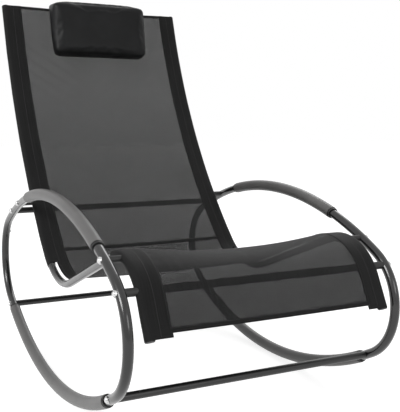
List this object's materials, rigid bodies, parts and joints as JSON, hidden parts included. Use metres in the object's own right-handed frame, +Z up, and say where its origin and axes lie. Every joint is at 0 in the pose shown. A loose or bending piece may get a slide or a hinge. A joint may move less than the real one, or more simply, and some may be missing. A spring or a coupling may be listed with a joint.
{
  "type": "rocking chaise lounge",
  "caption": "Rocking chaise lounge: oval tube hoops with armrest sleeves and rocker pads, crossbars, a bent mesh sling on side rails and a lift-off head pillow.",
  "frame": {"origin": "the point of the floor midway between the two rockers, under the middle of the hoops, where the chair rests", "axes": "+X towards the sitter's left, -Y the way the sitter faces (the front), +Z up"},
  "size_m": [0.6192, 1.0632, 0.9414],
  "materials": {
    "frame_paint": "satin",
    "bar_black": "satin",
    "bare_steel": "satin",
    "bright_steel": "polished",
    "sleeve_grey": "satin",
    "black_plastic": "matte",
    "sling_mesh": "matte",
    "hem_cloth": "matte",
    "pillow_cover": "satin",
    "strap_web": "matte"
  },
  "bodies": {
    "chair_frame": {"hoop_upper_tube_right": "frame_paint", "hoop_upper_tube_left": "frame_paint", "hoop_lower_tube_right": "frame_paint", "hoop_lower_tube_left": "frame_paint", "hoop_joint_spigots": "bare_steel", "armrest_sleeve_right": "sleeve_grey", "armrest_sleeve_left": "sleeve_grey", "rocker_pad_right": "sleeve_grey", "rocker_pad_left": "sleeve_grey", "sleeve_end_rings": "black_plastic", "crossbar_rear_upper": "bar_black", "crossbar_rear_lower": "bar_black", "crossbar_front_lower": "bar_black", "front_tie_bar": "bar_black", "bar_end_plugs": "bare_steel", "sling_rail_right": "frame_paint", "sling_rail_left": "frame_paint", "rail_end_caps": "black_plastic", "rail_spacers": "black_plastic", "tie_bar_spacers": "black_plastic", "saddle_washers": "bright_steel", "crossbar_screws": "bright_steel", "tie_bar_screws": "bright_steel", "rail_screws": "bright_steel", "rail_cap_nuts": "bright_steel", "splice_screws": "bright_steel", "front_side_hem_right": "hem_cloth", "front_side_hem_left": "hem_cloth", "back_side_hem_right": "hem_cloth", "back_side_hem_left": "hem_cloth", "seat_edge_hem_right": "hem_cloth", "seat_edge_hem_left": "hem_cloth", "front_edge_hem": "hem_cloth", "seat_mesh": "sling_mesh", "waist_seam": "hem_cloth", "back_mesh": "sling_mesh", "top_hem": "hem_cloth"},
    "head_pillow": {"pillow": "pillow_cover", "pillow_straps": "strap_web", "pillow_counterweight": "strap_web"}
  },
  "joints": [
    {"name": "pillow_lift", "type": "slide", "parent": "chair_frame", "child": "head_pillow", "axis": [0, 0.1977, 0.9803], "range_m": [0, 0.19]}
  ]
}
